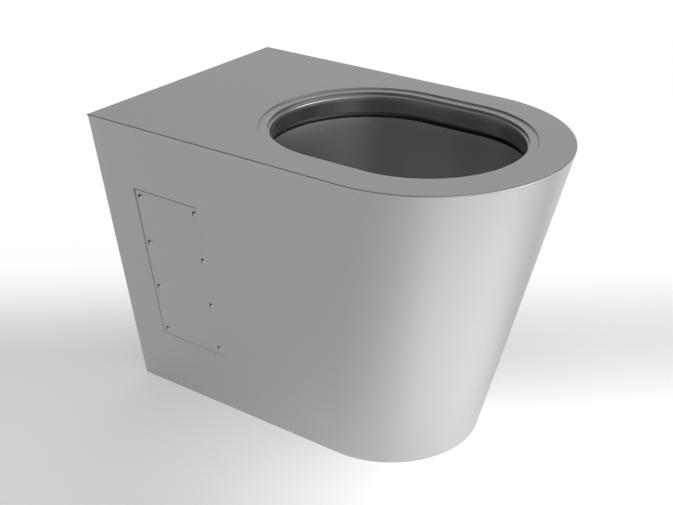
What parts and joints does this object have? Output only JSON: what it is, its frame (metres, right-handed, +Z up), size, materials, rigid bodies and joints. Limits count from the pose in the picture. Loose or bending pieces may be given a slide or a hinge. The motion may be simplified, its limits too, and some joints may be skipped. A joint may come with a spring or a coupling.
{
  "type": "toilet pan",
  "caption": "Floor-standing stainless steel toilet pan with an enclosed trap, a stepped oval mouth, a flushing rim and screwed access panels in its tapered sides.",
  "frame": {"origin": "on the floor, in the middle of the pan's width and depth", "axes": "+Z up, the round front faces -Y and the flat back faces the wall at +Y"},
  "size_m": [0.35, 0.56, 0.4],
  "materials": {
    "satin_stainless": "satin",
    "mill_stainless": "mill, matt grey",
    "bright_stainless": "bright",
    "black_rubber": "matt"
  },
  "bodies": {
    "pan": {"shroud": "satin_stainless", "deck": "satin_stainless", "flush_rim_band": "satin_stainless", "bowl": "satin_stainless", "flush_box": "mill_stainless", "flow_divider": "mill_stainless", "inlet_pipe": "mill_stainless", "trap_bend": "mill_stainless", "trap_elbow": "mill_stainless", "outlet_reducer": "mill_stainless", "outlet_spigot": "mill_stainless", "outlet_saddle": "mill_stainless", "base_flange": "mill_stainless", "deck_stiffener": "mill_stainless", "earth_tag": "mill_stainless", "floor_bracket_left": "mill_stainless", "floor_bracket_right": "mill_stainless", "panel_frame_left": "mill_stainless", "panel_frame_right": "mill_stainless", "panel_nuts_left": "mill_stainless", "panel_nuts_right": "mill_stainless", "inlet_seal": "black_rubber"},
    "access_panel_left": {"access_panel_left": "satin_stainless"},
    "panel_screws_left": {"panel_screws_left": "bright_stainless"},
    "access_panel_right": {"access_panel_right": "satin_stainless"},
    "panel_screws_right": {"panel_screws_right": "bright_stainless"}
  },
  "joints": [
    {"name": "access_panel_left_removal", "type": "slide", "parent": "pan", "child": "access_panel_left", "axis": [-0.9894, 0, -0.1449], "range_m": [0, 0.12]},
    {"name": "panel_screws_left_withdrawal", "type": "slide", "parent": "access_panel_left", "child": "panel_screws_left", "axis": [-0.9894, 0, -0.1449], "range_m": [0, 0.02]},
    {"name": "access_panel_right_removal", "type": "slide", "parent": "pan", "child": "access_panel_right", "axis": [0.9894, 0, -0.1449], "range_m": [0, 0.12]},
    {"name": "panel_screws_right_withdrawal", "type": "slide", "parent": "access_panel_right", "child": "panel_screws_right", "axis": [0.9894, 0, -0.1449], "range_m": [0, 0.02]}
  ]
}
